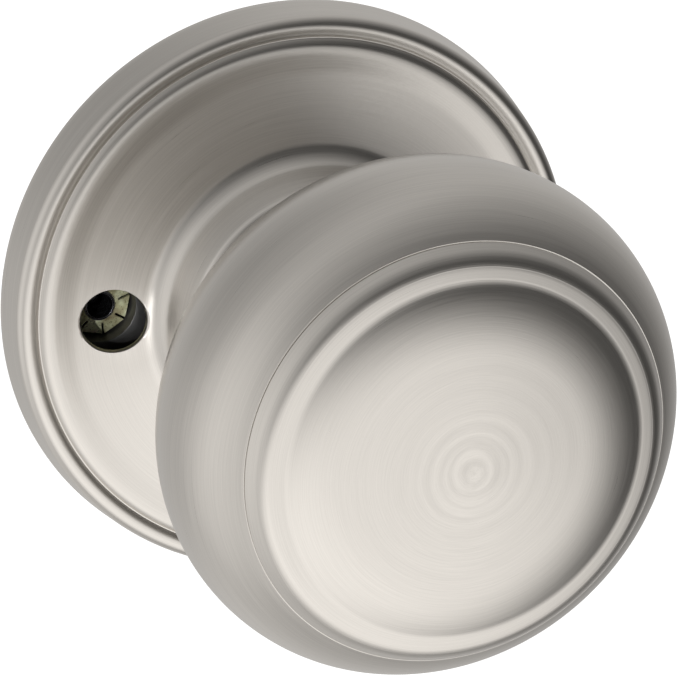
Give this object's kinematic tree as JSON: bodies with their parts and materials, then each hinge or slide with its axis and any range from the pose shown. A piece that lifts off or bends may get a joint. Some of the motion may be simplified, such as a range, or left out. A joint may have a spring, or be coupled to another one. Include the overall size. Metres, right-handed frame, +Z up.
{
  "type": "door knob",
  "caption": "Round door knob with a domed face on a stepped round rose, with a spring-returned shank, square spindle, threaded posts and a recessed push-in release.",
  "frame": {"origin": "on the knob's axis, in the plane of the door's outside face that the rose and mounting plate rest on", "axes": "+Y into the door along the spindle, so the knob stands out along -Y; +Z up; +X to the right for a person facing the knob"},
  "size_m": [0.0666, 0.1135, 0.0666],
  "materials": {
    "satin_nickel": "satin nickel plate, fine circular brushing",
    "cast_zinc": "bare zinc die casting",
    "plated_steel": "clear zinc plated steel",
    "spring_steel": "oiled spring steel",
    "nylon": "natural nylon",
    "yellow_zinc": "zinc plated steel, yellow chromate",
    "yellow_zinc_bright": "thin zinc plated spring steel, greenish yellow chromate",
    "black_acetal": "black acetal",
    "black_oxide": "black oxide steel"
  },
  "bodies": {
    "chassis": {"rose": "satin_nickel", "rose_bush": "nylon", "mounting_plate": "yellow_zinc", "mounting_posts": "plated_steel", "bearing_sleeve": "cast_zinc", "wave_washer": "spring_steel", "spring_cage": "yellow_zinc", "cage_rivets": "plated_steel", "return_spring": "spring_steel", "release_guide": "black_acetal", "release_spring": "spring_steel"},
    "knob": {"knob_face": "satin_nickel", "knob_shell": "satin_nickel", "knob_core": "cast_zinc", "knob_shank": "plated_steel", "knob_pin": "spring_steel", "thrust_washer": "nylon", "spring_driver": "cast_zinc", "rear_washer": "plated_steel", "retaining_ring": "spring_steel", "spindle": "plated_steel", "spindle_pin": "spring_steel"},
    "release": {"release_plunger": "black_oxide", "star_retainer": "yellow_zinc_bright", "release_clip": "spring_steel"}
  },
  "joints": [
    {"name": "knob_turn", "type": "hinge", "parent": "chassis", "child": "knob", "pos_m": [0, 0, 0], "axis": [0, -1, 0], "range_deg": [-65, 65], "stiffness_Nm_per_rad": 0.25, "deforming": ["return_spring"]},
    {"name": "release_push", "type": "slide", "parent": "chassis", "child": "release", "axis": [0, 1, 0], "range_m": [0, 0.004], "stiffness_N_per_m": 500, "springref_m": -0.003, "deforming": ["release_spring"]}
  ]
}
